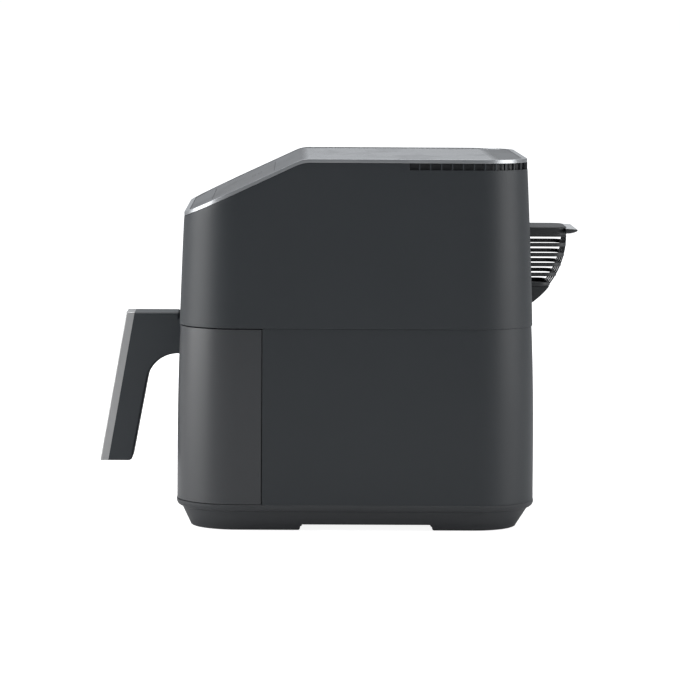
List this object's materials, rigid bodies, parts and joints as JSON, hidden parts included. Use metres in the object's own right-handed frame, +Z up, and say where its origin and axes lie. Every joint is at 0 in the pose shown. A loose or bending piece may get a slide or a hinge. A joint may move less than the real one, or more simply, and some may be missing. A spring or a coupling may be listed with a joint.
{
  "type": "basket air fryer",
  "caption": "Basket air fryer with a tapered charcoal casing, sloping silver-trimmed top, pull-out drawer with a hooked handle and a louvred air outlet behind.",
  "frame": {"origin": "on the table, under the middle of the overall box (handle to outlet lip)", "axes": "+Z up, front of the drawer towards -Y, width along X"},
  "size_m": [0.2924, 0.414, 0.314],
  "materials": {
    "casing": "fine-grain moulded, charcoal",
    "drawer_front": "fine-grain moulded, charcoal, a shade lighter",
    "plinth": "fine-grain moulded, charcoal",
    "silver_trim": "satin silver with a bright bevel",
    "top_face": "satin blue-grey",
    "control_glass": "gloss black",
    "handle_grip": "fine-grain moulded, charcoal",
    "handle_face": "satin silver",
    "outlet_black": "moulded, near black",
    "inner_plastic": "moulded, black",
    "sheet_steel": "galvanised sheet",
    "bright_steel": "bright steel",
    "element_metal": "heat-tinted tube",
    "pan_coating": "non-stick coating",
    "silicone": "matt silicone",
    "foot_rubber": "matt rubber",
    "board_green": "coated circuit board",
    "display_white": "light diffuser",
    "mineral_mat": "mineral fibre mat",
    "copper_winding": "enamelled copper winding",
    "bearing_bronze": "sintered bronze",
    "ceramic_cream": "ceramic-filled block",
    "plunger_red": "red plastic"
  },
  "bodies": {
    "appliance": {"upper_housing": "casing", "lower_housing": "casing", "base_plinth": "plinth", "top_trim": "silver_trim", "top_panel": "top_face", "control_lens": "control_glass", "display_module": "display_white", "control_board": "board_green", "chamber_frame": "inner_plastic", "rubber_feet": "foot_rubber", "base_screws": "bright_steel", "chamber_liner": "sheet_steel", "drawer_rails": "bright_steel", "drawer_catches": "bright_steel", "chamber_ceiling": "sheet_steel", "heater_housing": "sheet_steel", "heating_element": "element_metal", "element_clips": "bright_steel", "element_guard": "bright_steel", "insulation_mat": "mineral_mat", "heat_shield": "sheet_steel", "motor_bracket": "sheet_steel", "motor_stator": "bright_steel", "motor_coil": "copper_winding", "motor_bridge": "sheet_steel", "lower_bearing": "bearing_bronze", "upper_bearing": "bearing_bronze", "motor_screws": "bright_steel", "exhaust_duct": "sheet_steel", "outlet_grille": "outlet_black", "outlet_hood": "outlet_black", "outlet_screws": "bright_steel", "power_board": "board_green", "terminal_block": "ceramic_cream", "cord_gland": "foot_rubber", "temperature_sensor": "bright_steel", "thermal_cutout": "ceramic_cream", "interlock_switch": "inner_plastic"},
    "drawer": {"drawer_cover": "drawer_front", "drawer_panel": "inner_plastic", "handle_body": "handle_grip", "handle_plate": "handle_face", "handle_screws": "bright_steel", "cooking_pan": "pan_coating", "pan_screws": "bright_steel"},
    "crisper": {"crisper_plate": "pan_coating", "plate_bumpers": "silicone"},
    "fan": {"convection_fan": "bright_steel", "motor_shaft": "bright_steel", "motor_rotor": "bright_steel", "cooling_fan": "inner_plastic", "fan_nut": "bright_steel"},
    "plunger": {"switch_plunger": "plunger_red"}
  },
  "joints": [
    {"name": "drawer_slide", "type": "slide", "parent": "appliance", "child": "drawer", "axis": [0, -1, 0], "range_m": [0, 0.26]},
    {"name": "crisper_plate_lift", "type": "slide", "parent": "drawer", "child": "crisper", "axis": [0, 0, 1], "range_m": [0, 0.1]},
    {"name": "fan_spin", "type": "hinge", "parent": "appliance", "child": "fan", "pos_m": [0, 0.013, 0.24], "axis": [0, 0, 1], "continuous": true},
    {"name": "plunger_slide", "type": "slide", "parent": "appliance", "child": "plunger", "axis": [0, -1, 0], "range_m": [0, 0.003]}
  ],
  "couplings": [
    {"joint": "plunger_slide", "follows": "drawer_slide", "ratio": 0.0115}
  ]
}
